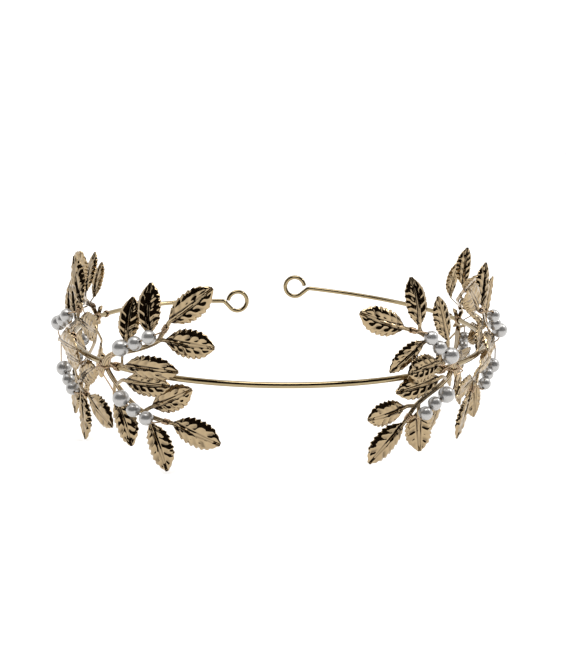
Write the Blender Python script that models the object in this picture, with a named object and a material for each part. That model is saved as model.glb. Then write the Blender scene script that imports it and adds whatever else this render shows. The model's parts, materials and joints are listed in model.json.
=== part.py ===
"""Open-backed bridal tiara: a round wire hoop with six pairs of stamped leaf sprigs and threaded pearls.

Metres, +Z up. The origin is the hoop's centre, in the plane of the band, and the tiara's front is at -Y.

A pair of sprigs is laid out in band coordinates, in millimetres: s runs along the hoop from the pair's
lashing towards the front, z runs up from the hoop, and h runs outwards from the hoop wire's centre line.
"""

import math

import bmesh
import bpy
from mathutils import Matrix, Vector

MM = 0.001

# Driving dimensions, in millimetres
HOOP_RADIUS = 80.0
HOOP_WIRE_RADIUS = 1.0
EYE_RADIUS = 4.65
SHEET = 0.5
STEM_SHEET = 0.62
STEM_WIDTH = 1.6
STALK_WIDTH = 1.2
STALK_RUN = 4.0
THREAD_RADIUS = 0.25
LARGE_PEARL_RADIUS = 2.8
SMALL_PEARL_RADIUS = 2.35
BORE_RADIUS = 0.37
THREAD_BEYOND_PEARL = 0.1
THREAD_LEAD = 0.7
GAP = 0.3

# Where the hoop's two ends stop, and how far each has been bent out of the band's plane
EYE_ANGLE = {"left": 166.0, "right": 174.0}
NECK_TO_EYE_CENTRE = 6.58
END_LIFT = {"left": -3.3, "right": 3.7}
LIFT_FROM_ANGLE = 100.0
LIFT_SPAN = 70.0

# How far round from the front each pair of sprigs is lashed on, in degrees
LASHED_AT = {"front": 45.5, "side": 77.5, "back": 109.5}

SIDE_SIGN = {"left": -1, "right": 1}

HOOP_SECTION_SIDES = 12
HOOP_STEP_DEGREES = 5.5
EYE_START_DEGREES = 225.0
EYE_END_DEGREES = 531.0
EYE_SEGMENTS = 17
THREAD_SIDES = 4
COIL_STEPS = 8
PEARL_SIDES = 10
PEARL_BANDS = 4
SHARP_ANGLE_DEGREES = 40

# Stems, from the foot across the hoop to the base of the end leaf: s, z, h
STEMS = {
    ("left", "upper"): [
        (-1.7, -3.1, 2.6), (0.0, 0.0, 2.6), (2.0, 2.9, 2.6), (5.0, 4.8, 2.6), (9.0, 6.2, 2.6),
        (17.0, 8.6, 2.6), (24.0, 11.8, 2.6), (26.0, 14.4, 2.6), (28.8, 18.8, 2.6),
    ],
    ("left", "lower"): [
        (-1.8, 2.8, 1.65), (0.0, 0.0, 1.65), (1.7, -2.6, 1.5), (5.0, -5.8, 1.2), (9.0, -9.2, 0.9),
        (14.0, -12.0, 0.8), (19.0, -13.8, 0.8), (23.5, -14.6, 0.8), (28.4, -15.0, 0.8),
    ],
    ("right", "upper"): [
        (-1.7, -3.1, 2.6), (0.0, 0.0, 2.6), (1.8, 2.9, 2.6), (4.6, 5.2, 2.6), (8.6, 8.0, 2.6),
        (12.8, 11.4, 2.6), (16.0, 13.8, 2.6), (18.6, 15.2, 2.6), (24.2, 17.0, 2.6),
    ],
    ("right", "lower"): [
        (-1.8, 2.8, 1.65), (0.0, 0.0, 1.65), (1.7, -2.6, 1.5), (4.8, -4.6, 1.2), (9.5, -6.6, 0.9),
        (13.5, -8.4, 0.8), (16.6, -10.2, 0.8), (18.2, -11.8, 0.8), (21.6, -15.6, 0.8),
    ],
}

# Leaves: s, z and h of the base, heading above the forward direction, length, width, roll about the
# midrib and how far the tip curls outwards
LEAVES = {
    ("left", "upper"): {
        "rear": (11.6, 10.0, 2.5, 90, 14.5, 7.6, 18, -3.5),
        "middle": (21.2, 14.0, 2.5, 96, 16.0, 8.4, 8, -3.5),
        "end": (28.8, 18.8, 2.6, 40, 17.5, 8.6, 6, -2.5),
        "front": (27.4, 12.6, 2.7, -4, 16.0, 9.2, -1, -1.0),
        "band": (14.4, 3.3, 6.0, 2, 19.0, 8.0, 8, 0.0),
    },
    ("left", "lower"): {
        "band": (11.4, -2.8, 3.2, 3, 17.6, 7.8, -8, 0.0),
        "rear": (3.6, -11.4, 0.9, -60, 16.5, 8.6, -16, 0.5),
        "front": (20.6, -10.6, 0.9, 28, 16.5, 8.2, 2, -0.5),
        "middle": (19.6, -16.4, 0.8, -66, 16.5, 8.8, -8, 0.5),
        "end": (28.4, -15.0, 0.8, -19, 17.0, 9.4, -1, -1.0),
    },
    ("right", "upper"): {
        "rear": (4.6, 10.6, 2.5, 74, 15.5, 7.0, 4, -1.5),
        "middle": (18.0, 17.2, 2.5, 83, 15.5, 7.6, 6, -3.0),
        "end": (24.2, 17.0, 2.6, 21, 16.0, 8.6, 0, -1.5),
        "front": (15.8, 11.6, 2.7, -34, 15.5, 7.8, 16, -0.5),
        "band": (10.6, 4.2, 4.3, -8, 12.8, 8.4, -8, 0.2),
    },
    ("right", "lower"): {
        "band": (8.6, -1.5, 3.2, -7, 18.2, 7.8, -10, 0.0),
        "rear": (4.6, -8.8, 0.9, -80, 14.0, 7.4, 14, -3.0),
        "front": (21.4, -10.0, 0.9, -11, 13.8, 8.6, 8, -0.5),
        "middle": (15.2, -12.6, 0.8, -95, 14.0, 8.8, -30, 0.0),
        "end": (21.6, -15.6, 0.8, -44, 17.2, 9.0, 4, -0.5),
    },
}

# Pearls threaded in front of each stem, from the lashing outwards: s, z, h
PEARLS = {
    ("left", "upper"): [(12.6, 8.9, 6.1), (18.2, 11.2, 5.7), (23.4, 13.8, 5.7)],
    ("left", "lower"): [(10.8, -8.6, 4.7), (15.4, -11.8, 4.1), (20.5, -13.7, 4.0)],
    ("right", "upper"): [(7.6, 6.5, 6.3), (12.3, 9.8, 5.8), (16.0, 13.5, 5.8)],
    ("right", "lower"): [(6.6, -7.3, 4.6), (11.4, -9.5, 4.1), (15.2, -12.2, 4.0)],
}

# The stem point that each thread's end coil wraps, and its radius
COIL_STEM_POINT = 7
COIL_BEYOND = 2.9
COIL_RADIUS = 1.45
COIL_TURNS = 2.0
COIL_PITCH = 0.8

# The lashing: the thread winds round the hoop beside the feet and crosses them twice
LASH_RADIUS = (HOOP_WIRE_RADIUS + GAP + THREAD_RADIUS) / math.cos(math.pi / COIL_STEPS)
LASH_PITCH = 0.8
LASH_CLEAR = 2.7
AHEAD_TURNS = 3
BEHIND_TURNS = 2

# The thread's runs between its turns round the hoop. s is counted from the turns beside a run, or from the
# lashing's middle on a pass over the feet, and the last number is added to that pass's height
LEAD_IN = (1.0, 2.2, 0.7)
FIRST_PASS = [(1.7, -0.4, 0.0), (-1.7, -0.4, 0.0)]
TURN_BACK = (0.4, -1.4, -0.9)
SECOND_PASS = [(-1.7, -1.0, 0.0), (1.4, -1.6, 0.1)]

# How far the side and back pairs' leaves are bent beyond the front pair's: they stand more upright, curl
# in or out, and are turned on their stalks to face forwards, most of all at the right back
EXTRA_HEADING = {"front": 0, "side": 14, "back": 10}
EXTRA_CURL = {
    "left": {"front": 0.0, "side": 1.5, "back": 0.5},
    "right": {"front": 0.0, "side": 3.0, "back": 4.0},
}
EXTRA_ROLL = {
    "left": {"front": 0, "side": 6, "back": 34},
    "right": {"front": 0, "side": 18, "back": 62},
}

# How steeply a pair leans in towards the head, between two distances from the hoop
LEAN = {
    ("left", "upper"): {"front": 0.0, "side": 0.1, "back": 0.7},
    ("left", "lower"): {"front": 0.0, "side": 0.1, "back": 0.3},
    ("right", "upper"): {"front": 0.0, "side": 0.3, "back": 1.0},
    ("right", "lower"): {"front": 0.0, "side": 0.3, "back": 1.0},
}
LEAN_FROM = 3.0
LEAN_UP_TO = 10.0

# Upper leaves bent further than the rest of their pair: added heading and added curl
BENT_MORE = {("left", "side", "end"): (66, 0.0), ("left", "side", "front"): (0, 3.0)}

# How much further out the pearls sit for each millimetre of lean, so that they clear the leaning stem
PEARL_OUT_PER_LEAN = 1.5

LEAF_OUTLINE = [(0.0, 0.14), (0.2, 0.76), (0.5, 1.0), (0.8, 0.76), (1.0, 0.12)]
LEAF_FOLD = 0.22


def clear_scene():
    for obj in list(bpy.data.objects):
        bpy.data.objects.remove(obj, do_unlink=True)


def make_material(name, colour, roughness, metallic):
    material = bpy.data.materials.new(name)
    material.use_nodes = True
    shader = material.node_tree.nodes["Principled BSDF"]
    shader.inputs["Base Color"].default_value = (*colour, 1.0)
    shader.inputs["Roughness"].default_value = roughness
    shader.inputs["Metallic"].default_value = metallic
    return material


def band_height(side, angle):
    """How far the hoop's wire has been bent up or down at an angle, in mm."""
    past = max(0.0, angle - LIFT_FROM_ANGLE) / LIFT_SPAN
    return END_LIFT[side] * past * past


def on_band(side, angle, height, out):
    """A world point at an angle from the front, height and out in mm from the hoop wire's centre line."""
    turn = math.radians(angle)
    radius = (HOOP_RADIUS + out) * MM
    z = (height + band_height(side, angle)) * MM
    return Vector((SIDE_SIGN[side] * radius * math.sin(turn), -radius * math.cos(turn), z))


def from_pair(side, place, point):
    """A world point from a pair's band coordinates."""
    s, z, h = point
    level = "upper" if z > 0 else "lower"
    lean = LEAN[side, level][place] * max(0.0, min(abs(z), LEAN_UP_TO) - LEAN_FROM)
    return on_band(side, LASHED_AT[place] - math.degrees(s / HOOP_RADIUS), z, h - lean)


def finish(name, bm, material):
    """Turns a bmesh into a named, smooth-shaded object."""
    bmesh.ops.recalc_face_normals(bm, faces=bm.faces)
    # A warped four-sided face has no single surface for a Boolean to cut, but a triangle does
    bmesh.ops.triangulate(bm, faces=bm.faces)
    mesh = bpy.data.meshes.new(name)
    bm.to_mesh(mesh)
    bm.free()
    mesh.shade_smooth()
    mesh.set_sharp_from_angle(angle=math.radians(SHARP_ANGLE_DEGREES))
    obj = bpy.data.objects.new(name, mesh)
    obj.data.materials.append(material)
    bpy.context.scene.collection.objects.link(obj)
    return obj


def loft(bm, rings):
    """Joins closed rings of points into a tube and caps both ends."""
    made = [[bm.verts.new(p) for p in ring] for ring in rings]
    count = len(made[0])
    for near, far in zip(made, made[1:]):
        for i in range(count):
            j = (i + 1) % count
            bm.faces.new((near[i], near[j], far[j], far[i]))
    bm.faces.new(made[0])
    bm.faces.new(made[-1])


def tangents(points):
    """The direction of a path at each of its points."""
    found = []
    for i in range(len(points)):
        before = points[max(0, i - 1)]
        after = points[min(len(points) - 1, i + 1)]
        found.append((after - before).normalized())
    return found


def ring_round(centre, across, up, radius, sides):
    """A regular polygon whose flats face along across and up."""
    ring = []
    for i in range(sides):
        turn = math.tau * (i + 0.5) / sides
        ring.append(centre + radius * (math.cos(turn) * across + math.sin(turn) * up))
    return ring


def thread_along(bm, points, radius):
    """A thin round wire along a path, with a frame carried from point to point so that it doesn't twist."""
    directions = tangents(points)
    normal = directions[0].orthogonal().normalized()
    rings = []
    for point, direction in zip(points, directions):
        normal = (normal - normal.dot(direction) * direction).normalized()
        rings.append(ring_round(point, normal, direction.cross(normal), radius, THREAD_SIDES))
    loft(bm, rings)


def outward_at(side, angle):
    """The horizontal direction that points out of the hoop at an angle from the front."""
    turn = math.radians(angle)
    return Vector((SIDE_SIGN[side] * math.sin(turn), -math.cos(turn), 0.0))


def hoop_path(side):
    """Centre points and outward normals of one half of the hoop, from the front to the eyelet's cut end."""
    eye_angle = EYE_ANGLE[side]
    neck_angle = eye_angle - math.degrees(NECK_TO_EYE_CENTRE / HOOP_RADIUS)
    steps = round(neck_angle / HOOP_STEP_DEGREES)
    stations = []
    for i in range(1, steps + 1):
        angle = neck_angle * i / steps
        stations.append((on_band(side, angle, 0.0, 0.0), outward_at(side, angle)))
    # The eyelet is bent flat in the plane that touches the hoop at the eyelet's centre
    centre = on_band(side, eye_angle, 0.0, 0.0)
    outward = outward_at(side, eye_angle)
    along = outward_at(side, eye_angle + 90.0)
    for i in range(EYE_SEGMENTS + 1):
        share = i / EYE_SEGMENTS
        turn = math.radians(EYE_START_DEGREES + share * (EYE_END_DEGREES - EYE_START_DEGREES))
        offset = math.cos(turn) * along + math.sin(turn) * Vector((0, 0, 1))
        stations.append((centre + EYE_RADIUS * MM * offset, outward))
    return stations


def make_hoop(material):
    left = hoop_path("left")
    right = hoop_path("right")
    front = (on_band("left", 0.0, 0.0, 0.0), Vector((0, -1, 0)))
    stations = list(reversed(left)) + [front] + right
    points = [point for point, _ in stations]
    rings = []
    for (point, outward), direction in zip(stations, tangents(points)):
        across = (outward - outward.dot(direction) * direction).normalized()
        up = direction.cross(across)
        rings.append(ring_round(point, across, up, HOOP_WIRE_RADIUS * MM, HOOP_SECTION_SIDES))
    bm = bmesh.new()
    loft(bm, rings)
    return finish("hoop_wire", bm, material)


def strip_rings(points, width, sheet):
    """Rectangular sections, in band coordinates, of a strip that lies flat on the crown's surface."""
    rings = []
    for point, direction in zip(points, tangents(points)):
        flat = Vector((direction.x, direction.y, 0)).normalized()
        aside = Vector((-flat.y, flat.x, 0)) * width / 2
        lift = Vector((0, 0, sheet / 2))
        near, far = point + aside, point - aside
        rings.append([near + lift, far + lift, far - lift, near - lift])
    return rings


def leaf_rings(root, base, heading, length, width, roll, curl):
    """Sections, in band coordinates, of a stalk and the leaf blade it ends in, folded along the midrib."""
    turn = math.radians(heading)
    forward = Vector((math.cos(turn), math.sin(turn), 0))
    tilt = Matrix.Rotation(math.radians(roll), 3, forward)
    aside = tilt @ Vector((-math.sin(turn), math.cos(turn), 0))
    out = tilt @ Vector((0, 0, 1))
    rings = []
    for t, share in LEAF_OUTLINE:
        middle = base + forward * (length * t) + Vector((0, 0, curl * t * t))
        half = aside * (width / 2 * share)
        drop = out * (-LEAF_FOLD * width / 2 * share)
        rings.append(folded_section(middle, half, drop, out * (SHEET / 2)))
    if root is not None:
        run = base - root
        flat = Vector((-run.y, run.x, 0)).normalized() * (STALK_WIDTH / 2)
        rings.insert(0, folded_section(root, flat, Vector((0, 0, 0)), Vector((0, 0, SHEET / 2))))
    return rings


def folded_section(middle, half, drop, lift):
    """Six points round a thin sheet whose two edges drop away from its middle."""
    left = middle + half + drop
    right = middle - half + drop
    return [left + lift, middle + lift, right + lift, right - lift, middle - lift, left - lift]


def nearest_on(points, target):
    """The point of a path that is nearest to a target."""
    best = None
    for a, b in zip(points, points[1:]):
        run = b - a
        share = max(0.0, min(1.0, (target - a).dot(run) / run.length_squared))
        point = a + share * run
        if best is None or (point - target).length < (best - target).length:
            best = point
    return best


def bent(side, place, level, name, heading, roll, curl):
    """A leaf's heading, roll and curl after the pair it belongs to has been bent to shape."""
    if level == "upper":
        more_heading, more_curl = BENT_MORE.get((side, place, name), (0, 0.0))
        heading, curl = heading + more_heading, curl + more_curl
    if name in ("band", "front"):
        return heading, roll, curl
    if level == "lower":
        return heading - EXTRA_HEADING[place] / 2, roll, curl
    return heading + EXTRA_HEADING[place], roll + EXTRA_ROLL[side][place], curl + EXTRA_CURL[side][place]


def make_sprig(side, place, level, material):
    """One stamping: a foot, a stem and five leaves on their stalks."""
    stem = [Vector(p) for p in STEMS[side, level]]
    bodies = [strip_rings(stem, STEM_WIDTH, STEM_SHEET)]
    for name, (s, z, h, heading, length, width, roll, curl) in LEAVES[side, level].items():
        base = Vector((s, z, h))
        heading, roll, curl = bent(side, place, level, name, heading, roll, curl)
        turn = math.radians(heading)
        behind = base - STALK_RUN * Vector((math.cos(turn), math.sin(turn), 0))
        root = None if name == "end" else nearest_on(stem, behind)
        bodies.append(leaf_rings(root, base, heading, length, width, roll, curl))
    node = f"{side}_{place}_{level}_sprig"
    blades = bmesh.new()
    for rings in bodies[1:]:
        loft(blades, [[from_pair(side, place, p) for p in ring] for ring in rings])
    cutter = finish(node + "_blades", blades, material)
    cutter.hide_render = True
    cutter.display_type = "WIRE"
    body = bmesh.new()
    loft(body, [[from_pair(side, place, p) for p in ring] for ring in bodies[0]])
    sprig = finish(node, body, material)
    join = sprig.modifiers.new("join_blades", "BOOLEAN")
    join.operation = "UNION"
    join.object = cutter
    join.use_self = True
    return sprig


def make_pearl(name, centre, axis, radius, material):
    """A ball with a bore, turned about its own Z axis, which is laid along the thread."""
    bm = bmesh.new()
    start = math.asin(BORE_RADIUS / radius)
    profile = []
    for i in range(PEARL_BANDS + 1):
        turn = start + (math.pi - 2 * start) * i / PEARL_BANDS
        profile.append((radius * math.sin(turn), radius * math.cos(turn)))
    rings = []
    for r, z in profile:
        ring = []
        for i in range(PEARL_SIDES):
            turn = math.tau * i / PEARL_SIDES
            ring.append(bm.verts.new(Vector((r * math.cos(turn), r * math.sin(turn), z)) * MM))
        rings.append(ring)
    # The last ring joins back to the first down the bore
    for near, far in zip(rings, rings[1:] + rings[:1]):
        for i in range(PEARL_SIDES):
            j = (i + 1) % PEARL_SIDES
            bm.faces.new((near[i], near[j], far[j], far[i]))
    pearl = finish(name, bm, material)
    pearl.location = centre
    pearl.rotation_euler = axis.to_track_quat("Z", "Y").to_euler()
    return pearl


def wind(centre, axis, start, radius, turns, pitch):
    """Points of a coil about an axis, beginning on the side that start points to."""
    across = (start - start.dot(axis) * axis).normalized()
    other = axis.cross(across)
    steps = round(turns * COIL_STEPS)
    points = []
    for i in range(steps + 1):
        turn = math.tau * i / COIL_STEPS
        along = pitch * (i / COIL_STEPS - turns / 2)
        points.append(centre + along * axis + radius * (math.cos(turn) * across + math.sin(turn) * other))
    return points


def pearl_places(side, place, level):
    """Each pearl's centre, bore direction and radius, in the world."""
    further = PEARL_OUT_PER_LEAN * LEAN[side, level][place]
    local = [Vector((s, z, h + further)) for s, z, h in PEARLS[side, level]]
    found = []
    for number, (point, direction) in enumerate(zip(local, tangents(local))):
        ahead = from_pair(side, place, point + direction)
        behind = from_pair(side, place, point - direction)
        radius = LARGE_PEARL_RADIUS if number == 0 else SMALL_PEARL_RADIUS
        found.append((from_pair(side, place, point), (ahead - behind).normalized(), radius))
    return found


def string_points(side, place, level):
    """World points of the thread from beside the first pearl, through all three, to its end coil."""
    points = []
    pearls = pearl_places(side, place, level)
    for number, (centre, axis, radius) in enumerate(pearls):
        before = radius + (THREAD_LEAD if number == 0 else THREAD_BEYOND_PEARL)
        after = radius + (THREAD_LEAD if number == len(pearls) - 1 else THREAD_BEYOND_PEARL)
        points += [centre - before * MM * axis, centre + after * MM * axis]
    start, end = [Vector(p) for p in STEMS[side, level][COIL_STEM_POINT:COIL_STEM_POINT + 2]]
    axis = (end - start).normalized()
    coil = wind(start + axis * COIL_BEYOND, axis, Vector((0, 0, 1)), COIL_RADIUS, COIL_TURNS, COIL_PITCH)
    return points + [from_pair(side, place, p) for p in coil]


def lashing_points():
    """The thread where it winds round the hoop and crosses the two feet, in band coordinates."""
    points = []

    def round_hoop(s_from, s_to, turns):
        steps = turns * COIL_STEPS
        for i in range(steps + 1):
            share = i / steps
            turn = -math.tau * turns * share
            s = s_from + (s_to - s_from) * share
            points.append(Vector((s, LASH_RADIUS * math.sin(turn), LASH_RADIUS * math.cos(turn))))

    foot = STEMS["left", "upper"][0][2]
    lower_pass = foot + STEM_SHEET / 2 + GAP + THREAD_RADIUS
    higher_pass = lower_pass + 2 * THREAD_RADIUS + GAP
    ahead = LASH_CLEAR + AHEAD_TURNS * LASH_PITCH
    behind = -LASH_CLEAR - BEHIND_TURNS * LASH_PITCH
    points.append(Vector((ahead, 0, higher_pass)) + Vector(LEAD_IN))
    round_hoop(ahead, LASH_CLEAR, AHEAD_TURNS)
    points += [Vector((0, 0, lower_pass)) + Vector(p) for p in FIRST_PASS]
    round_hoop(-LASH_CLEAR, behind, BEHIND_TURNS)
    points.append(Vector((behind, 0, higher_pass)) + Vector(TURN_BACK))
    points += [Vector((0, 0, higher_pass)) + Vector(p) for p in SECOND_PASS]
    return points


def make_binding_wire(side, place, material):
    """The thin wire that lashes a pair of feet to the hoop and carries the pair's six pearls."""
    upper = string_points(side, place, "upper")
    lashing = [from_pair(side, place, p) for p in lashing_points()]
    lower = string_points(side, place, "lower")
    bm = bmesh.new()
    thread_along(bm, upper[::-1] + lashing + lower, THREAD_RADIUS * MM)
    return finish(f"{side}_{place}_binding_wire", bm, material)


def make_pearls(side, place, level, material):
    for number, (centre, axis, radius) in enumerate(pearl_places(side, place, level), start=1):
        make_pearl(f"{side}_{place}_{level}_pearl_{number}", centre, axis, radius, material)


def main():
    clear_scene()
    wire = make_material("hoop_gold", (0.82, 0.66, 0.46), 0.12, 1.0)
    leaf = make_material("leaf_gold", (0.80, 0.62, 0.44), 0.18, 1.0)
    thread = make_material("thread_gold", (0.83, 0.63, 0.48), 0.2, 1.0)
    pearl = make_material("pearl_white", (0.86, 0.85, 0.84), 0.22, 0.0)
    make_hoop(wire)
    for side in SIDE_SIGN:
        for place in LASHED_AT:
            for level in ("upper", "lower"):
                make_sprig(side, place, level, leaf)
                make_pearls(side, place, level, pearl)
            make_binding_wire(side, place, thread)


main()
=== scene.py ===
"""The looks of the bridal tiara: fine meshes, materials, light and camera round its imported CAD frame.

The CAD sprigs are laid out in band coordinates, in millimetres, and the fine ones follow the same layout:
s runs along the hoop from a pair's lashing towards the front, z runs up from the hoop, and h runs outwards
from the hoop wire's centre line. Pearls take their centres and bores from the frame's joints.
"""

import json
import math

import bmesh
import bpy
import numpy as np
from mathutils import Matrix, Vector


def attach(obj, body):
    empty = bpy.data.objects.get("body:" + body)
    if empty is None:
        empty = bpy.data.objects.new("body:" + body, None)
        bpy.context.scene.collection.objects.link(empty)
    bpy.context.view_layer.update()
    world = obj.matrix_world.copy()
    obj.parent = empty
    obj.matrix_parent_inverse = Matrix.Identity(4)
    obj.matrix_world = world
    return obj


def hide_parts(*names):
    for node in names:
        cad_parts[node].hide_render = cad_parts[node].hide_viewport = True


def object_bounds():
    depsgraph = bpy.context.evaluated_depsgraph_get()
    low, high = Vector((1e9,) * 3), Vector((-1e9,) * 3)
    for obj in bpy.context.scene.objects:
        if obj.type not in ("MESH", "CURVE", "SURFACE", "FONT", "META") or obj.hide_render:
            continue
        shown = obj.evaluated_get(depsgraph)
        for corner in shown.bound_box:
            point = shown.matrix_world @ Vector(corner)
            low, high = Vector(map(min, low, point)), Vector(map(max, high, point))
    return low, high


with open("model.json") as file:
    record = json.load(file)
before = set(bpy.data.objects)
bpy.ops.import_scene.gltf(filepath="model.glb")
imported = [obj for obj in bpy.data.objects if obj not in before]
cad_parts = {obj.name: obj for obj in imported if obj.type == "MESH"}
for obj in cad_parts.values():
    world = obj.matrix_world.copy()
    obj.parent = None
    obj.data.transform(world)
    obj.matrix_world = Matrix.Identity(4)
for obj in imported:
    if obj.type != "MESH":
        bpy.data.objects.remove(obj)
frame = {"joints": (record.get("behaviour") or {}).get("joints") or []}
cad_low, cad_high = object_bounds()

MM = 0.001
ROOT_BODY = "tiara"
SHARP_ANGLE_DEGREES = 50

# The CAD layout's dimensions, in millimetres and degrees
HOOP_RADIUS = 80.0
HOOP_WIRE_RADIUS = 1.0
EYE_RADIUS = 4.65
EYE_ANGLE = {"left": 166.0, "right": 174.0}
NECK_TO_EYE_CENTRE = 6.58
EYE_START_DEGREES = 225.0
EYE_END_DEGREES = 531.0
END_LIFT = {"left": -3.3, "right": 3.7}
LIFT_FROM_ANGLE = 100.0
LIFT_SPAN = 70.0
HOOP_FIRST_ANGLE = 1.0
HOOP_STATIONS = 150
HOOP_SIDES = 32
EYE_STATIONS = 56
NECK_FILLET = 1.2
LASHED_AT = {"front": 45.5, "side": 77.5, "back": 109.5}
SIDE_SIGN = {"left": -1, "right": 1}
LEVELS = ("upper", "lower")
LARGE_PEARL_RADIUS = 2.8
SMALL_PEARL_RADIUS = 2.35
BORE_RADIUS = 0.37
BORE_MOUTH = 1.35
MOUTH_DEPTH = 0.15
THREAD_RADIUS = 0.25
THREAD_BEYOND_PEARL = 0.1
THREAD_LEAD = 0.7
STEM_SHEET = 0.62
LEAF_SHEET = 0.34
PATH_STEPS = 8
GAP = 0.3
STALK_RUN = 4.0

# Stems, from the foot across the hoop to the base of the end leaf: s, z, h
STEMS = {
    ("left", "upper"): [
        (-1.7, -3.1, 2.6), (0.0, 0.0, 2.6), (2.0, 2.9, 2.6), (5.0, 4.8, 2.6), (9.0, 6.2, 2.6),
        (17.0, 8.6, 2.6), (24.0, 11.8, 2.6), (26.0, 14.4, 2.6), (28.8, 18.8, 2.6),
    ],
    ("left", "lower"): [
        (-1.8, 2.8, 1.65), (0.0, 0.0, 1.65), (1.7, -2.6, 1.5), (5.0, -5.8, 1.2), (9.0, -9.2, 0.9),
        (14.0, -12.0, 0.8), (19.0, -13.8, 0.8), (23.5, -14.6, 0.8), (28.4, -15.0, 0.8),
    ],
    ("right", "upper"): [
        (-1.7, -3.1, 2.6), (0.0, 0.0, 2.6), (1.8, 2.9, 2.6), (4.6, 5.2, 2.6), (8.6, 8.0, 2.6),
        (12.8, 11.4, 2.6), (16.0, 13.8, 2.6), (18.6, 15.2, 2.6), (24.2, 17.0, 2.6),
    ],
    ("right", "lower"): [
        (-1.8, 2.8, 1.65), (0.0, 0.0, 1.65), (1.7, -2.6, 1.5), (4.8, -4.6, 1.2), (9.5, -6.6, 0.9),
        (13.5, -8.4, 0.8), (16.6, -10.2, 0.8), (18.2, -11.8, 0.8), (21.6, -15.6, 0.8),
    ],
}

# Leaves: s, z and h of the base, heading above the forward direction, length, width, roll about the
# midrib and how far the tip curls outwards
LEAVES = {
    ("left", "upper"): {
        "rear": (11.6, 10.0, 2.5, 90, 14.5, 7.6, 18, -3.5),
        "middle": (21.2, 14.0, 2.5, 96, 16.0, 8.4, 8, -3.5),
        "end": (28.8, 18.8, 2.6, 40, 17.5, 8.6, 6, -2.5),
        "front": (27.4, 12.6, 2.7, -4, 16.0, 9.2, -1, -1.0),
        "band": (14.4, 3.3, 6.0, 2, 19.0, 8.0, 8, 0.0),
    },
    ("left", "lower"): {
        "band": (11.4, -2.8, 3.2, 3, 17.6, 7.8, -8, 0.0),
        "rear": (3.6, -11.4, 0.9, -60, 16.5, 8.6, -16, 0.5),
        "front": (20.6, -10.6, 0.9, 28, 16.5, 8.2, 2, -0.5),
        "middle": (19.6, -16.4, 0.8, -66, 16.5, 8.8, -8, 0.5),
        "end": (28.4, -15.0, 0.8, -19, 17.0, 9.4, -1, -1.0),
    },
    ("right", "upper"): {
        "rear": (4.6, 10.6, 2.5, 74, 15.5, 7.0, 4, -1.5),
        "middle": (18.0, 17.2, 2.5, 83, 15.5, 7.6, 6, -3.0),
        "end": (24.2, 17.0, 2.6, 21, 16.0, 8.6, 0, -1.5),
        "front": (15.8, 11.6, 2.7, -34, 15.5, 7.8, 16, -0.5),
        "band": (10.6, 4.2, 4.3, -8, 12.8, 8.4, -8, 0.2),
    },
    ("right", "lower"): {
        "band": (8.6, -1.5, 3.2, -7, 18.2, 7.8, -10, 0.0),
        "rear": (4.6, -8.8, 0.9, -80, 14.0, 7.4, 14, -3.0),
        "front": (21.4, -10.0, 0.9, -11, 13.8, 8.6, 8, -0.5),
        "middle": (15.2, -12.6, 0.8, -95, 14.0, 8.8, -30, 0.0),
        "end": (21.6, -15.6, 0.8, -44, 17.2, 9.0, 4, -0.5),
    },
}

# How the side and back pairs are bent: more heading, curl and roll for their leaves, and a lean towards
# the wearer for each millimetre above or below the hoop, between two heights. BENT_MORE adds heading and
# curl to single upper leaves
EXTRA_HEADING = {"front": 0, "side": 14, "back": 10}
EXTRA_CURL = {
    "left": {"front": 0.0, "side": 1.5, "back": 0.5},
    "right": {"front": 0.0, "side": 3.0, "back": 4.0},
}
EXTRA_ROLL = {
    "left": {"front": 0, "side": 6, "back": 34},
    "right": {"front": 0, "side": 18, "back": 62},
}
LEAN = {
    ("left", "upper"): {"front": 0.0, "side": 0.1, "back": 0.7},
    ("left", "lower"): {"front": 0.0, "side": 0.1, "back": 0.3},
    ("right", "upper"): {"front": 0.0, "side": 0.3, "back": 1.0},
    ("right", "lower"): {"front": 0.0, "side": 0.3, "back": 1.0},
}
LEAN_FROM = 3.0
LEAN_UP_TO = 10.0
BENT_MORE = {("left", "side", "end"): (66, 0.0), ("left", "side", "front"): (0, 3.0)}

# A leaf's half width along its length, as shares of the whole, and its stamped relief in millimetres.
# Ranges of four are shares where a feature starts, is full, begins to fade and ends. Steps per leaf shift
# the pattern from one leaf of a sprig to the next
LEAF_OUTLINE = [(0.0, 0.14), (0.2, 0.76), (0.5, 1.0), (0.8, 0.76), (1.0, 0.12)]
LEAF_FOLD = 0.22
LEAF_ROWS = 72
LEAF_COLUMNS = 28
TEETH = 9
TOOTH_DEPTH = 0.13
TOOTH_RISE = 0.8
TOOTH_STEP_PER_LEAF = 0.17
TEETH_ALONG = (0.04, 0.14, 0.94, 1.0)
VEINS = 6.0
VEIN_SWEEP = 1.1
VEIN_STEP_PER_LEAF = 0.23
VEIN_STEP_ABOVE_RIB = 0.4
HOLLOW_DEPTH = 0.40
HOLLOW_RISE = 0.62
HOLLOW_FLAT = 0.25
HOLLOW_EDGE = 0.1
HOLLOW_ACROSS = (0.14, 0.40, 0.66, 0.90)
HOLLOW_ALONG = (0.02, 0.14, 0.84, 0.98)
SHALLOWEST_HOLLOW = 0.5
HOLLOW_SPREAD = 0.7
UNEVEN_PER_VEIN = 2.4
UNEVEN_PER_LEAF = 1.7
UNEVEN_ABOVE_RIB = 3.0
RIB_HALF_WIDTH = 0.70
RIB_NARROWS = 0.72
RIB_RELIEF = 0.26
RIB_FLAT_TOP = 0.6
RIB_GROOVE = 0.20
SIDE_GROOVE_AT = 1.25
SIDE_GROOVE_WIDTH = 0.42
MIDDLE_GROOVE_WIDTH = 0.30
MIDDLE_GROOVE_SHARE = 0.8
MARGIN_RIPPLE = 0.12
RIPPLE_FULL_FROM = 0.2
LEAF_DISH = 0.45
ROLL_STARTS = 0.58
ROLL_ENDS = 1.15
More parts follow.
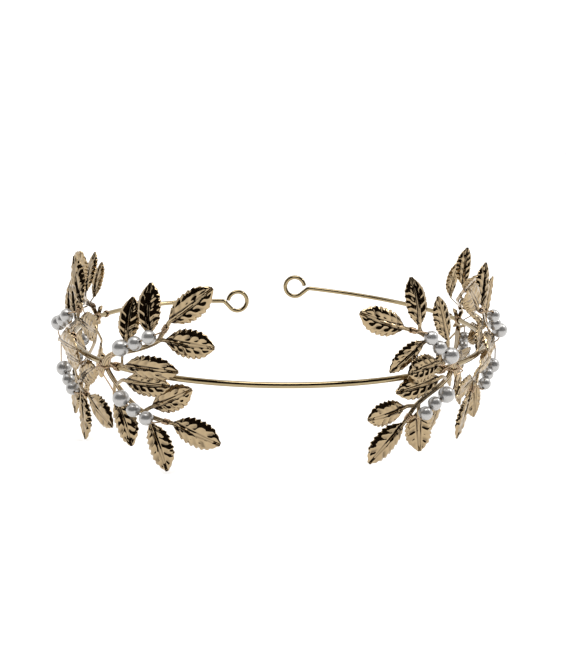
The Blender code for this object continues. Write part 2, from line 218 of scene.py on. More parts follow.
MIDRIB_SWAY = 0.35
SWAY_STEP_PER_LEAF = 2.4

# Stems and stalks: flat strips with two grooves pressed along them
STEM_WIDTH = 2.3
STEM_TIP_WIDTH = 1.3
STALK_WIDTH = 1.25
STRIP_COLUMNS = 16
STRIP_GROOVE_AT = 0.42
STRIP_GROOVE_WIDTH = 0.11
STRIP_GROOVE_DEPTH = 0.13
STRIP_EDGE_DROP = 0.45
STALK_SHEET = 0.50
STALK_ENDS = 1.3
STALK_INTO_LEAF = 0.6

# The round blobs that end the feet: a flat tab on the upper foot and a fuller knob on the lower one
TAB_RADIUS = 1.4
TAB_HEIGHT = 0.5
KNOB_RADIUS = 1.15
KNOB_HEIGHT = 0.9

# The binding wire's turns, wound tighter than the CAD's plain ones
LASH_RADIUS = HOOP_WIRE_RADIUS + THREAD_RADIUS + 0.05
LASH_STEPS = 16
LASH_PITCH = 0.8
LASH_CLEAR = 2.7
AHEAD_TURNS = 3
BEHIND_TURNS = 2
LEAD_IN = (1.0, 2.2, 0.7)
FIRST_PASS = [(1.7, -0.4, 0.0), (-1.7, -0.4, 0.0)]
TURN_BACK = (0.4, -1.4, -0.9)
SECOND_PASS = [(-1.7, -1.0, 0.0), (1.4, -1.6, 0.1)]
COIL_STEM_POINT = 7
COIL_BEYOND = 2.4
COIL_RADIUS = 1.0
COIL_TURNS = 4
COIL_PITCH = 0.56
THREAD_SIDES = 10
THREAD_FILLET = 0.45
THREAD_FILLET_STEPS = 3
COIL_FLATNESS = 0.8

# A swept wire's ends narrow in two steps to these shares of its radius
SOFT_END_SHARES = (0.8, 0.35)
SOFT_END_BULGE = 0.5

# Directions that no swept wire starts along and no bore runs along, to measure their rings from
SWEEP_REFERENCE = (0.3, 0.2, 0.93)
PEARL_REFERENCE = (0.31, 0.17, 0.93)

# Metals: colour, the dark colour that random plating clouds and the painted shade in pressed grooves and leaf
# hollows mix towards, roughness and the strength of their ripples
HOOP_METAL = ((0.345, 0.27, 0.152), (0.10, 0.07, 0.04), 0.05, 0.10)
LEAF_METAL = ((0.415, 0.312, 0.184), (0.03, 0.02, 0.014), 0.06, 0.16)
WIRE_METAL = ((0.42, 0.30, 0.19), (0.22, 0.14, 0.09), 0.12, 0.05)
PEARL_COLOURS = ((0.36, 0.355, 0.35), (0.41, 0.395, 0.375))
FLOOR_COLOURS = ((0.90, 0.90, 0.90), (0.93, 0.93, 0.93))
CARD_COLOUR = (0.012, 0.009, 0.007, 1.0)

# Surroundings: the black card, which only reflections see, between two azimuths from the front, positive
# towards +X, and two elevations; then each light's place, width, depth and power
CARD_AZIMUTHS = (-80, 76)
CARD_ELEVATIONS = (-2, 70)
CARD_DISTANCE = 1.2
CARD_STEPS = 12
LIGHTS = {
    "strip_light": ((0.0, -0.19, 1.08), 1.2, 0.45, 8.0),
    "side_light": ((0.62, 0.10, 0.55), 0.16, 0.16, 1.2),
}
WORLD_STRENGTH = 1.12
FLOOR_REACH = 8.0
FLOOR_GAP = 0.5

# Camera, fitted to the hoop's outline
CAMERA_DISTANCE = 0.3549
CAMERA_ELEVATION = 12.49
CAMERA_TURN = -0.8
CAMERA_ROLL = 0.68
CAMERA_LENS = 48.27
CAMERA_AIM = (1.77 * MM, 0.0, -0.55 * MM)


# ---------------------------------------------------------------- places on the band

def on_band(side, angle, height, out):
    """World points at angles from the front, with heights and outward distances in mm."""
    turn = np.radians(angle)
    past = np.maximum(0.0, angle - LIFT_FROM_ANGLE) / LIFT_SPAN
    radius = (HOOP_RADIUS + out) * MM
    z = (height + END_LIFT[side] * past * past) * MM
    return np.stack([SIDE_SIGN[side] * radius * np.sin(turn), -radius * np.cos(turn), z], axis=-1)


def from_pair(side, place, points):
    """World points from a pair's band coordinates."""
    points = np.asarray(points, float)
    s, z, h = points[..., 0], points[..., 1], points[..., 2]
    lean_per_mm = np.where(z > 0, LEAN[side, "upper"][place], LEAN[side, "lower"][place])
    lean = lean_per_mm * np.maximum(0.0, np.minimum(np.abs(z), LEAN_UP_TO) - LEAN_FROM)
    return on_band(side, LASHED_AT[place] - np.degrees(s / HOOP_RADIUS), z, h - lean)


def unit(vectors):
    return vectors / np.linalg.norm(vectors, axis=-1, keepdims=True)


def tangents(points):
    """The direction of a path at each of its points."""
    steps = np.diff(points, axis=0)
    return unit(np.concatenate([steps[:1], steps[:-1] + steps[1:], steps[-1:]]))


def smooth_path(points, steps):
    """A Catmull-Rom curve through the points."""
    points = np.asarray(points, float)
    padded = np.concatenate([2 * points[:1] - points[1:2], points, 2 * points[-1:] - points[-2:-1]])
    share = np.arange(steps)[:, None] / steps
    found = []
    for a, b, c, d in zip(padded, padded[1:], padded[2:], padded[3:]):
        curve = 2 * b + (c - a) * share + (2 * a - 5 * b + 4 * c - d) * share**2
        found.append((curve + (3 * b - a - 3 * c + d) * share**3) / 2)
    found.append(points[-1:])
    return np.concatenate(found)


def rounded(points, reach, steps=4):
    """A path whose corners are rounded off within a reach, so that its straight runs stay straight."""
    points = np.asarray(points, float)
    found = [points[0]]
    for before, corner, after in zip(points, points[1:], points[2:]):
        back, ahead = before - corner, after - corner
        start = corner + back * min(0.5, reach / np.linalg.norm(back))
        end = corner + ahead * min(0.5, reach / np.linalg.norm(ahead))
        for share in np.arange(steps + 1) / steps:
            found.append((1 - share) ** 2 * start + 2 * share * (1 - share) * corner + share**2 * end)
    found.append(points[-1])
    found = np.array(found)
    apart = np.linalg.norm(np.diff(found, axis=0), axis=1) > 1e-3 * reach
    return found[np.concatenate([[True], apart])]


# ---------------------------------------------------------------- shells: points, faces and painted shade

def joined(rings):
    """The faces of a tube through equal closed rings, with a cap at each end."""
    count, sides = rings.shape[:2]
    faces = []
    for row in range(count - 1):
        for i in range(sides):
            j = (i + 1) % sides
            faces.append((row * sides + i, row * sides + j, (row + 1) * sides + j, (row + 1) * sides + i))
    faces.append(tuple(range(sides)))
    faces.append(tuple((count - 1) * sides + i for i in range(sides)))
    return faces


def sweep(points, radius, sides):
    """A round wire along a world path, with softened ends. Points and radius share one unit."""
    directions = tangents(points)
    normal = np.cross(directions[0], SWEEP_REFERENCE)
    turn = math.tau * np.arange(sides) / sides
    rings = []
    for point, direction in zip(points, directions):
        normal = unit(normal - normal.dot(direction) * direction)
        other = np.cross(direction, normal)
        rings.append(point + radius * (np.outer(np.cos(turn), normal) + np.outer(np.sin(turn), other)))
    rings = np.array(rings)
    softened = []
    for end, direction in ((0, -directions[0]), (-1, directions[-1])):
        middle = rings[end].mean(axis=0)
        for share in SOFT_END_SHARES:
            bulge = direction * radius * SOFT_END_BULGE * (1 - share)
            softened.append(middle + (rings[end] - middle) * share + bulge)
    rings = np.concatenate([[softened[1], softened[0]], rings, [softened[2], softened[3]]])
    return rings.reshape(-1, 3), joined(rings), np.zeros(rings.shape[0] * sides)


def slab(top, bottom, painted_shade):
    """A closed sheet between two grids of points, with the grids' painted shade on both sides."""
    rows, columns = top.shape[:2]
    count = rows * columns
    faces = []

    def at(row, column):
        return row * columns + column

    for row in range(rows - 1):
        for column in range(columns - 1):
            quad = (at(row, column), at(row, column + 1), at(row + 1, column + 1), at(row + 1, column))
            faces.append(quad)
            faces.append(tuple(count + i for i in reversed(quad)))
    rim = [at(0, c) for c in range(columns)] + [at(r, columns - 1) for r in range(1, rows)]
    rim += [at(rows - 1, c) for c in range(columns - 2, -1, -1)] + [at(r, 0) for r in range(rows - 2, 0, -1)]
    for a, b in zip(rim, rim[1:] + rim[:1]):
        faces.append((b, a, count + a, count + b))
    points = np.concatenate([top.reshape(-1, 3), bottom.reshape(-1, 3)])
    return points, faces, np.tile(painted_shade.ravel(), 2)


def button(centre, radius, height, rows=12, sides=28):
    """A domed round blob in band coordinates, flattened along h."""
    polar = math.pi * (np.arange(rows) + 0.5) / rows
    turn = math.tau * np.arange(sides) / sides
    across = radius * np.outer(np.sin(polar), np.ones(sides))
    rings = np.stack([across * np.cos(turn), across * np.sin(turn),
                      height * np.outer(np.cos(polar), np.ones(sides))], axis=-1)
    rings = rings + np.asarray(centre, float)
    return rings.reshape(-1, 3), joined(rings), np.zeros(rows * sides)


def strip(points, widths, sheet):
    """A flat strip in band coordinates, with two grooves pressed along its outer side and painted shade along
    them.
    """
    directions = tangents(points)
    flat = unit(np.stack([directions[:, 0], directions[:, 1], np.zeros(len(points))], axis=-1))
    aside = np.stack([-flat[:, 1], flat[:, 0], np.zeros(len(points))], axis=-1)
    across = np.linspace(1, -1, STRIP_COLUMNS + 1)
    trough = np.exp(-(((np.abs(across) - STRIP_GROOVE_AT) / STRIP_GROOVE_WIDTH) ** 2))
    crown = sheet / 2 * (1 - STRIP_EDGE_DROP * across**6) - STRIP_GROOVE_DEPTH * trough
    middle = points[:, None] + aside[:, None] * (across[:, None] * widths[:, None, None] / 2)
    top = middle + np.stack([0 * crown, 0 * crown, crown], axis=-1)
    bottom = middle - np.array([0, 0, sheet / 2])
    # The grooves' profile is also painted shade, darkening the strip's colour along them.
    return slab(top, bottom, np.tile(trough, (len(points), 1)))


# ---------------------------------------------------------------- leaves and sprigs

def half_width(share):
    """A leaf's half width at a share of its length: a smooth curve through the CAD outline."""
    at, wide = np.array(LEAF_OUTLINE).T
    slope = np.gradient(wide, at)
    i = np.clip(np.searchsorted(at, share, side="right") - 1, 0, len(at) - 2)
    run = at[i + 1] - at[i]
    x = (share - at[i]) / run
    value = (2 * x**3 - 3 * x**2 + 1) * wide[i] + (x**3 - 2 * x**2 + x) * run * slope[i]
    return value + (3 * x**2 - 2 * x**3) * wide[i + 1] + (x**3 - x**2) * run * slope[i + 1]


def ease(value, low, high):
    """A smooth rise from 0 to 1 between two values."""
    x = np.clip((value - low) / (high - low), 0, 1)
    return x * x * (3 - 2 * x)


def plateau(value, starts, full, fades, ends):
    """A smooth rise to 1 and back to 0."""
    return ease(value, starts, full) * (1 - ease(value, fades, ends))


def rib_relief(along, beside):
    """Height of the midrib with the grooves in and beside it, and the painted shade of those beside it."""
    taper = 1 - RIB_NARROWS * along
    rib = RIB_HALF_WIDTH * taper
    height = RIB_RELIEF * taper * (1 - ease(beside, rib * RIB_FLAT_TOP, rib))
    side_groove = np.exp(-(((beside - rib * SIDE_GROOVE_AT) / (SIDE_GROOVE_WIDTH * rib)) ** 2))
    middle_groove = np.exp(-((beside / (MIDDLE_GROOVE_WIDTH * rib)) ** 2))
    return height - RIB_GROOVE * (side_groove + MIDDLE_GROOVE_SHARE * middle_groove), side_groove


def vein_hollows(along, across, seed):
    """Shares of full depth of the hollows of uneven depth that are pressed between the side veins."""
    reach = np.abs(across)
    upper = across > 0
    phase = VEINS * along - VEIN_SWEEP * reach + VEIN_STEP_PER_LEAF * seed + VEIN_STEP_ABOVE_RIB * upper
    part = phase % 1.0
    swing = UNEVEN_PER_VEIN * (phase - part) + UNEVEN_PER_LEAF * seed + UNEVEN_ABOVE_RIB * upper
    uneven = 0.5 + 0.5 * np.sin(swing)
    zone = plateau(reach, *HOLLOW_ACROSS) * plateau(along, *HOLLOW_ALONG)
    slope = np.minimum(part / HOLLOW_RISE, (1 - part) / (1 - HOLLOW_RISE))
    hollow = ease(slope, -HOLLOW_FLAT, 1.0) - HOLLOW_EDGE
    return np.clip(hollow, 0, 1) * zone * (SHALLOWEST_HOLLOW + HOLLOW_SPREAD * uneven)


def margin_relief(along, across, half, seed):
    """Height of the dished blade, whose rippled margins roll back below its midrib."""
    reach = np.abs(across)
    ripple = np.sin(math.tau * TEETH * along + seed + across)
    rolled = ease(reach, ROLL_STARTS, ROLL_ENDS) / ease(1.0, ROLL_STARTS, ROLL_ENDS)
    dish = LEAF_FOLD * half * (LEAF_DISH * reach - (1 + LEAF_DISH) * rolled)
    return MARGIN_RIPPLE * ripple * reach**4 * ease(along, 0.0, RIPPLE_FULL_FROM) + dish


def leaf_relief(along, across, half, seed):
    """Height above the leaf's flat plane and painted shade in its grooves and hollows, from shares along and
    across, half width in mm.
    """
    height, side_groove = rib_relief(along, np.abs(across) * half)
    hollow = vein_hollows(along, across, seed)
    height = height - HOLLOW_DEPTH * hollow + margin_relief(along, across, half, seed)
    # Painted shade: the grooves beside the midrib and, more faintly, the vein hollows are darkened in colour.
    return height, np.clip(side_groove + 0.5 * hollow**2, 0, 1)


def leaf_shell(base, heading, length, width, roll, curl, seed):
    """A stamped leaf in band coordinates: dished along its midrib, veined, and toothed at its edges."""
    turn = math.radians(heading)
    forward = Vector((math.cos(turn), math.sin(turn), 0))
    tilt = Matrix.Rotation(math.radians(roll), 3, forward)
    aside = np.array(tilt @ Vector((-math.sin(turn), math.cos(turn), 0)))
    out = np.array(tilt @ Vector((0, 0, 1)))
    forward = np.array(forward)
    along, across = np.meshgrid(np.linspace(0, 1, LEAF_ROWS + 1), np.linspace(1, -1, LEAF_COLUMNS + 1),
                                indexing="ij")
    half = width / 2 * half_width(along)
    tooth = (TEETH * along + TOOTH_STEP_PER_LEAF * seed) % 1.0
    tooth = np.where(tooth < TOOTH_RISE, tooth / TOOTH_RISE, (1 - tooth) / (1 - TOOTH_RISE)) - 0.5
    edge = np.abs(across) ** 5 * plateau(along, *TEETH_ALONG)
    sideways = across * half * (1 + TOOTH_DEPTH * tooth * edge)
    relief, painted_shade = leaf_relief(along, across, half, seed)
    sway = MIDRIB_SWAY * math.sin(SWAY_STEP_PER_LEAF * seed) * np.sin(math.pi * along)
    middle = np.asarray(base, float) + along[..., None] * length * forward
    middle = middle + (sideways + sway)[..., None] * aside + relief[..., None] * out
    middle = middle + (curl * along**2)[..., None] * np.array([0, 0, 1])
    return slab(middle + out * LEAF_SHEET / 2, middle - out * LEAF_SHEET / 2, painted_shade)


def nearest_on(points, target):
    """The index of the path point that is nearest to a target."""
    return int(np.argmin(np.linalg.norm(points - target, axis=1)))


def bent(side, place, level, name, heading, roll, curl):
    """A leaf's heading, roll and curl after its pair has been bent to shape, as in the CAD."""
    if level == "upper":
        more_heading, more_curl = BENT_MORE.get((side, place, name), (0, 0.0))
        heading, curl = heading + more_heading, curl + more_curl
    if name in ("band", "front"):
        return heading, roll, curl
    if level == "lower":
        return heading - EXTRA_HEADING[place] / 2, roll, curl
    return heading + EXTRA_HEADING[place], roll + EXTRA_ROLL[side][place], curl + EXTRA_CURL[side][place]


def sprig_shells(side, place, level):
    """One sprig: its stem, the blob at its foot, its leaves and their stalks."""
    stem = smooth_path(STEMS[side, level], PATH_STEPS)
    shells = [strip(stem, np.linspace(STEM_WIDTH, STEM_TIP_WIDTH, len(stem)), STEM_SHEET)]
    if level == "upper":
        shells.append(button(stem[0], TAB_RADIUS, TAB_HEIGHT))
    else:
        shells.append(button(stem[0], KNOB_RADIUS, KNOB_HEIGHT))
    for seed, (name, (s, z, h, heading, length, width, roll, curl)) in enumerate(LEAVES[side, level].items()):
        base = np.array([s, z, h])
        heading, roll, curl = bent(side, place, level, name, heading, roll, curl)
        turn = math.radians(heading)
        forward = np.array([math.cos(turn), math.sin(turn), 0])
        shells.append(leaf_shell(base, heading, length, width, roll, curl, seed + len(place)))
        if name != "end":
            root = stem[nearest_on(stem, base - STALK_RUN * forward)]
            ends = [base - STALK_ENDS * forward, base + STALK_INTO_LEAF * forward]
            stalk = smooth_path([root, *ends], PATH_STEPS)
            shells.append(strip(stalk, np.full(len(stalk), STALK_WIDTH), STALK_SHEET))
    return [(from_pair(side, place, points), faces, painted_shade) for points, faces, painted_shade in shells]


# ---------------------------------------------------------------- hoop, binding wire and pearls

def outward_at(side, angle):
    """The level direction outwards from the band at an angle from the front."""
    turn = math.radians(angle)
    return np.array([SIDE_SIGN[side] * math.sin(turn), -math.cos(turn), 0.0])


def hoop_half(side):
    """World points of one half of the hoop, from just past the front to the eyelet's cut end."""
    eye_angle = EYE_ANGLE[side]
    neck_angle = eye_angle - math.degrees(NECK_TO_EYE_CENTRE / HOOP_RADIUS)
    band = on_band(side, np.linspace(HOOP_FIRST_ANGLE, neck_angle, HOOP_STATIONS), 0.0, 0.0)
    centre = on_band(side, np.array(eye_angle), 0.0, 0.0)
    along = outward_at(side, eye_angle + 90.0)
    turn = np.radians(np.linspace(EYE_START_DEGREES, EYE_END_DEGREES, EYE_STATIONS))
    eyelet = centre + EYE_RADIUS * MM * (np.outer(np.cos(turn), along) + np.outer(np.sin(turn), [0, 0, 1]))
    neck = rounded(np.array([band[-3], band[-1], eyelet[0]]), NECK_FILLET * MM)
    return np.concatenate([band[:-3], neck, eyelet[1:]])


def hoop_shell():
    """The hoop's wire, from one eyelet round the front to the other."""
    front = on_band("left", np.array([0.0]), 0.0, 0.0)
    path = np.concatenate([hoop_half("left")[::-1], front, hoop_half("right")])
    return sweep(path, HOOP_WIRE_RADIUS * MM, HOOP_SIDES)


def pearl_places(side, place, level):
    """Each pearl's centre, bore direction and radius in metres, from the frame's joints."""
    found = []
    for number in (1, 2, 3):
        node = f"{side}_{place}_{level}_pearl_{number}"
        joint = next(j for j in frame["joints"] if j["child"] == node)
        radius = LARGE_PEARL_RADIUS if number == 1 else SMALL_PEARL_RADIUS
        found.append((node, np.array(joint["pos_m"]), unit(np.array(joint["axis"])), radius * MM))
    return found


def pearl_shell(centre, axis, radius, rows=28, sides=48):
    """A ball with a bore along its axis, whose mouth is slightly countersunk."""
    bore = BORE_RADIUS * MM
    start = math.asin(BORE_MOUTH * bore / radius)
    polar = np.linspace(start, math.pi - start, rows + 1)
    profile = [(radius * math.sin(p), radius * math.cos(p)) for p in polar]
    mouth = radius * math.cos(start) - MOUTH_DEPTH * MM
    profile = [(bore, mouth)] + profile + [(bore, -mouth)]
    turn = math.tau * np.arange(sides) / sides
    across = unit(np.cross(axis, PEARL_REFERENCE))
    other = np.cross(axis, across)
    rings = [centre + z * axis + r * (np.outer(np.cos(turn), across) + np.outer(np.sin(turn), other))
             for r, z in profile]
    faces = []
    count = len(rings)
    for row in range(count):
        for i in range(sides):
            j = (i + 1) % sides
            below = (row + 1) % count
            faces.append((row * sides + i, row * sides + j, below * sides + j, below * sides + i))
    return np.concatenate(rings), faces, np.zeros(count * sides)


def string_points(side, place, level):
    """World points of the wire through the pearls and round the base of the end leaf."""
    points = []
    pearls = pearl_places(side, place, level)
    for number, (_, centre, axis, radius) in enumerate(pearls):
        before = radius + (THREAD_LEAD if number == 0 else THREAD_BEYOND_PEARL) * MM
        after = radius + (THREAD_LEAD if number == len(pearls) - 1 else THREAD_BEYOND_PEARL) * MM
        points += [centre - before * axis, centre + after * axis]
    start, end = np.array(STEMS[side, level][COIL_STEM_POINT:COIL_STEM_POINT + 2])
    axis = unit(end - start)
    across = unit(np.array([0.0, 0.0, 1.0]) - axis[2] * axis)
    other = np.cross(axis, across)
    turn = math.tau * np.arange(COIL_TURNS * LASH_STEPS + 1) / LASH_STEPS
    along = COIL_BEYOND + COIL_PITCH * (turn / math.tau - COIL_TURNS / 2)
    round_stem = np.outer(np.cos(turn), across) + COIL_FLATNESS * np.outer(np.sin(turn), other)
    coil = start + np.outer(along, axis) + COIL_RADIUS * round_stem
    return np.concatenate([points, from_pair(side, place, coil)])


def round_hoop(s_from, s_to, turns):
    """Turns of the wire round the hoop, in band coordinates."""
    share = np.linspace(0, 1, turns * LASH_STEPS + 1)
    turn = -math.tau * turns * share
    return np.stack([s_from + (s_to - s_from) * share, LASH_RADIUS * np.sin(turn),
                     LASH_RADIUS * np.cos(turn)], axis=-1)


def lashing_points():
    """The wire where it winds round the hoop and crosses the two feet, in band coordinates."""
    foot = STEMS["left", "upper"][0][2]
    lower_pass = np.array([0, 0, foot + STEM_SHEET / 2 + GAP + THREAD_RADIUS])
    higher_pass = lower_pass + np.array([0, 0, 2 * THREAD_RADIUS + GAP])
    ahead = LASH_CLEAR + AHEAD_TURNS * LASH_PITCH
    behind = -LASH_CLEAR - BEHIND_TURNS * LASH_PITCH
    return np.concatenate([
        [np.array([ahead, 0, 0]) + higher_pass + LEAD_IN],
        round_hoop(ahead, LASH_CLEAR, AHEAD_TURNS),
        lower_pass + np.array(FIRST_PASS),
        round_hoop(-LASH_CLEAR, behind, BEHIND_TURNS),
        [np.array([behind, 0, 0]) + higher_pass + TURN_BACK],
        higher_pass + np.array(SECOND_PASS),
    ])


def binding_shell(side, place):
    """One wire from the upper coil through its pearls, round the hoop and on to the lower coil."""
    upper = string_points(side, place, "upper")[::-1]
    lashing = from_pair(side, place, lashing_points())
    lower = string_points(side, place, "lower")
    path = rounded(np.concatenate([upper, lashing, lower]), THREAD_FILLET * MM, steps=THREAD_FILLET_STEPS)
    return sweep(path, THREAD_RADIUS * MM, THREAD_SIDES)


# ---------------------------------------------------------------- materials

class Nodes:
    """A short way to add and join the nodes of one node tree."""

    def __init__(self, tree):
        self.tree = tree

    def add(self, kind, **values):
        node = self.tree.nodes.new(kind)
        for key, value in values.items():
            if hasattr(node, key):
                setattr(node, key, value)
            else:
                node.inputs[key.replace("_", " ")].default_value = value
        return node

    def link(self, source, target):
        self.tree.links.new(source, target)

    def noise(self, position, scale, detail, stretch=None):
        if stretch:
            mapping = self.add("ShaderNodeMapping")
            mapping.inputs["Scale"].default_value = stretch
            self.link(position, mapping.inputs["Vector"])
            position = mapping.outputs["Vector"]
        node = self.add("ShaderNodeTexNoise")
        node.inputs["Scale"].default_value = scale
        node.inputs["Detail"].default_value = detail
        self.link(position, node.inputs["Vector"])
        return node.outputs["Fac"]

    def between(self, value, low, high):
        node = self.add("ShaderNodeMapRange")
        node.inputs["To Min"].default_value = low
        node.inputs["To Max"].default_value = high
        self.link(value, node.inputs["Value"])
        return node.outputs["Result"]

    def mixed(self, share, first, second):
        node = self.add("ShaderNodeMix", data_type="RGBA")
        self.link(share, node.inputs["Factor"])
        node.inputs["A"].default_value = (*first, 1.0)
        if isinstance(second, tuple):
            node.inputs["B"].default_value = (*second, 1.0)
        else:
            self.link(second, node.inputs["B"])
        return node.outputs["Result"]

    def bump(self, height, strength, distance):
        node = self.add("ShaderNodeBump")
        node.inputs["Strength"].default_value = strength
        node.inputs["Distance"].default_value = distance
        self.link(height, node.inputs["Height"])
        return node.outputs["Normal"]


def new_material(name):
    """A material with its node helper, its shader and the object's own coordinates."""
    material = bpy.data.materials.new(name)
    material.use_nodes = True
    nodes = Nodes(material.node_tree)
    shader = material.node_tree.nodes["Principled BSDF"]
    position = nodes.add("ShaderNodeTexCoord").outputs["Object"]
    return material, nodes, shader, position


def polished_metal(name, colour, shade_and_cloud_colour, roughness, ripple):
    """Plated metal: cloudy plating, fine polishing marks, soft ripples, and painted shade that darkens
    pressed grooves and hollows.
    """
    material, nodes, shader, position = new_material(name)
    # Painted shade in grooves and hollows, added to random plating clouds, mixes the colour towards the dark
    # shade colour.
    painted_shade = nodes.add("ShaderNodeAttribute", attribute_name="painted_shade").outputs["Fac"]
    clouds = nodes.between(nodes.noise(position, scale=260.0, detail=3.0), low=0.25, high=0.0)
    shade_and_clouds = nodes.add("ShaderNodeMath", operation="ADD", use_clamp=True)
    nodes.link(painted_shade, shade_and_clouds.inputs[0])
    nodes.link(clouds, shade_and_clouds.inputs[1])
    nodes.link(nodes.mixed(shade_and_clouds.outputs[0], colour, shade_and_cloud_colour), shader.inputs["Base Color"])
    marks = nodes.noise(position, scale=900.0, detail=4.0, stretch=(1.0, 1.0, 4.0))
    marked = nodes.between(marks, low=roughness * 0.6, high=roughness * 1.5)
    nodes.link(marked, shader.inputs["Roughness"])
    waves = nodes.noise(position, scale=420.0, detail=2.0)
    nodes.link(nodes.bump(waves, strength=ripple, distance=0.0004), shader.inputs["Normal"])
    shader.inputs["Metallic"].default_value = 1.0
    return material


def pearl_lacquer(name):
    """A satin pearl coat: a pale body under a soft metallic lustre, with faint clouds and an uneven skin."""
    material, nodes, shader, position = new_material(name)
    clouds = nodes.noise(position, scale=380.0, detail=3.0)
    nodes.link(nodes.mixed(clouds, *PEARL_COLOURS), shader.inputs["Base Color"])
    satin = nodes.between(nodes.noise(position, scale=1500.0, detail=2.0), low=0.26, high=0.34)
    nodes.link(satin, shader.inputs["Roughness"])
    skin = nodes.noise(position, scale=1100.0, detail=2.0)
    nodes.link(nodes.bump(skin, strength=0.02, distance=0.0002), shader.inputs["Normal"])
    shader.inputs["Metallic"].default_value = 0.75
    shader.inputs["Coat Weight"].default_value = 0.35
    shader.inputs["Coat Roughness"].default_value = 0.14
    return material


def pale_floor(name):
    material, nodes, shader, position = new_material(name)
    specks = nodes.noise(position, scale=40.0, detail=4.0)
    nodes.link(nodes.mixed(specks, *FLOOR_COLOURS), shader.inputs["Base Color"])
    shader.inputs["Roughness"].default_value = 0.9
    return material


def black_card_surface(name):
    material = bpy.data.materials.new(name)
    material.use_nodes = True
    shader = material.node_tree.nodes["Principled BSDF"]
    shader.inputs["Base Color"].default_value = CARD_COLOUR
    shader.inputs["Roughness"].default_value = 1.0
    shader.inputs["Specular IOR Level"].default_value = 0.0
    return material


# ---------------------------------------------------------------- pieces

def make_piece(name, shells, material, slot, body, *nodes):
    """One smooth-shaded object from closed shells, riding on a body in place of its CAD nodes."""
    points, faces, painted_shade = [], [], []
    offset = 0
    for shell_points, shell_faces, shell_painted_shade in shells:
        points.append(shell_points)
        faces += [tuple(offset + i for i in face) for face in shell_faces]
        painted_shade.append(shell_painted_shade)
        offset += len(shell_points)
    mesh = bpy.data.meshes.new(name)
    mesh.from_pydata(np.concatenate(points).tolist(), [], faces)
    # Each point's painted shade, by which the material darkens the colour.
    shade = mesh.attributes.new("painted_shade", "FLOAT", "POINT")
    shade.data.foreach_set("value", np.concatenate(painted_shade).astype(np.float32))
    bm = bmesh.new()
    bm.from_mesh(mesh)
    bmesh.ops.recalc_face_normals(bm, faces=bm.faces)
    bm.to_mesh(mesh)
    bm.free()
    mesh.shade_smooth()
    mesh.set_sharp_from_angle(angle=math.radians(SHARP_ANGLE_DEGREES))
    mesh.materials.append(material)
    piece = bpy.data.objects.new(name, mesh)
    bpy.context.scene.collection.objects.link(piece)
    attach(piece, body)
    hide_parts(*nodes)
    return piece


def build_tiara():
    hoop_metal = polished_metal("hoop_metal", *HOOP_METAL)
    leaf_metal = polished_metal("leaf_metal", *LEAF_METAL)
    wire_metal = polished_metal("wire_metal", *WIRE_METAL)
    pearl = pearl_lacquer("pearl_lustre")
    make_piece("hoop_wire_look", [hoop_shell()], hoop_metal, "hoop_wire", ROOT_BODY, "hoop_wire")
    for side in SIDE_SIGN:
        for place in LASHED_AT:
            for level in LEVELS:
                node = f"{side}_{place}_{level}_sprig"
                shells = sprig_shells(side, place, level)
                make_piece(node + "_look", shells, leaf_metal, "leaf_metal", ROOT_BODY, node)
                for pearl_node, centre, axis, radius in pearl_places(side, place, level):
                    shell = pearl_shell(centre, axis, radius)
                    make_piece(pearl_node + "_look", [shell], pearl, "pearl", pearl_node, pearl_node)
            node = f"{side}_{place}_binding_wire"
            shell = binding_shell(side, place)
            make_piece(node + "_look", [shell], wire_metal, "binding_wire", ROOT_BODY, node)


# ---------------------------------------------------------------- studio

def make_stage_mesh(name, points, faces, material):
    """A mesh of the surroundings, which is no piece of the tiara."""
    mesh = bpy.data.meshes.new(name)
    mesh.from_pydata(points, [], faces)
    mesh.materials.append(material)
    obj = bpy.data.objects.new(name, mesh)
    bpy.context.scene.collection.objects.link(obj)
    return obj


def make_floor(level):
    signs = ((-1, -1), (1, -1), (1, 1), (-1, 1))
    corners = [(x * FLOOR_REACH, y * FLOOR_REACH, level) for x, y in signs]
    make_stage_mesh("floor", corners, [(0, 1, 2, 3)], pale_floor("pale_floor"))


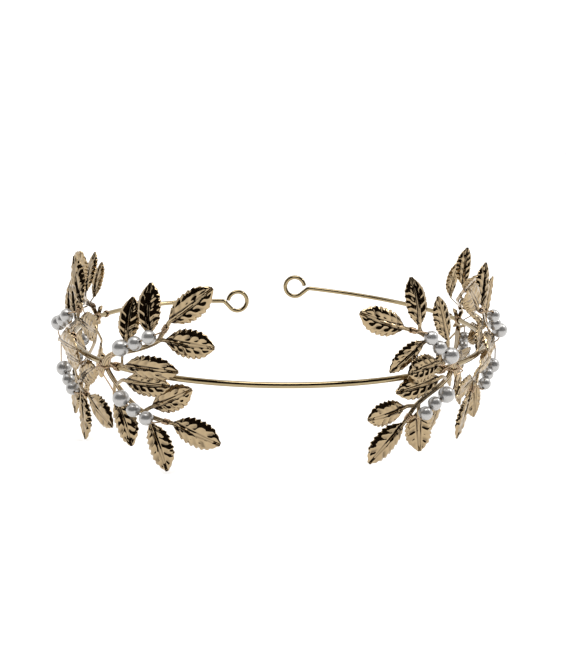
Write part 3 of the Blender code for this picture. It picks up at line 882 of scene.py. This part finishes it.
def make_black_card():
    """A curved card in front of the tiara, seen only in what reflects it."""
    points = []
    for azimuth in np.radians(np.linspace(*CARD_AZIMUTHS, CARD_STEPS + 1)):
        for elevation in np.radians(CARD_ELEVATIONS):
            reach = CARD_DISTANCE * math.cos(elevation)
            z = CARD_DISTANCE * math.sin(elevation)
            points.append((reach * math.sin(azimuth), -reach * math.cos(azimuth), z))
    faces = [(2 * i, 2 * i + 1, 2 * i + 3, 2 * i + 2) for i in range(CARD_STEPS)]
    card = make_stage_mesh("black_card", points, faces, black_card_surface("black_card"))
    card.visible_camera = False
    card.visible_diffuse = False
    card.visible_shadow = False
    card.visible_transmission = False


def make_light(name, place, width, depth, power):
    """A soft box, level from side to side, that faces the tiara."""
    data = bpy.data.lights.new(name, "AREA")
    data.shape = "RECTANGLE"
    data.size = width
    data.size_y = depth
    data.energy = power
    light = bpy.data.objects.new(name, data)
    light.location = place
    light.rotation_euler = (-Vector(place)).to_track_quat("-Z", "Y").to_euler()
    bpy.context.scene.collection.objects.link(light)


def make_world():
    world = bpy.data.worlds.new("studio")
    world.use_nodes = True
    background = world.node_tree.nodes["Background"]
    background.inputs["Color"].default_value = (1.0, 1.0, 1.0, 1.0)
    background.inputs["Strength"].default_value = WORLD_STRENGTH
    bpy.context.scene.world = world


def make_camera():
    elevation = math.radians(CAMERA_ELEVATION)
    roll = math.radians(CAMERA_ROLL)
    forward = Vector((0, math.cos(elevation), -math.sin(elevation)))
    up = Vector((0, math.sin(elevation), math.cos(elevation)))
    across = Vector((1, 0, 0))
    rolled_across = math.cos(roll) * across + math.sin(roll) * up
    rolled_up = math.cos(roll) * up - math.sin(roll) * across
    turn = Matrix.Rotation(math.radians(CAMERA_TURN), 4, "Z")
    pose = Matrix.Translation(Vector(CAMERA_AIM) - CAMERA_DISTANCE * forward)
    axes = Matrix((rolled_across, rolled_up, -forward)).transposed().to_4x4()
    data = bpy.data.cameras.new("camera")
    data.lens = CAMERA_LENS
    data.clip_start = 0.01
    data.clip_end = 50.0
    camera = bpy.data.objects.new("camera", data)
    camera.matrix_world = turn @ pose @ axes
    bpy.context.scene.collection.objects.link(camera)
    bpy.context.scene.camera = camera


def make_studio():
    make_floor(cad_low.z - FLOOR_GAP * MM)
    make_black_card()
    for name, (place, width, depth, power) in LIGHTS.items():
        make_light(name, place, width, depth, power)
    make_world()
    make_camera()
    bpy.context.scene.view_settings.view_transform = "Standard"


build_tiara()
make_studio()
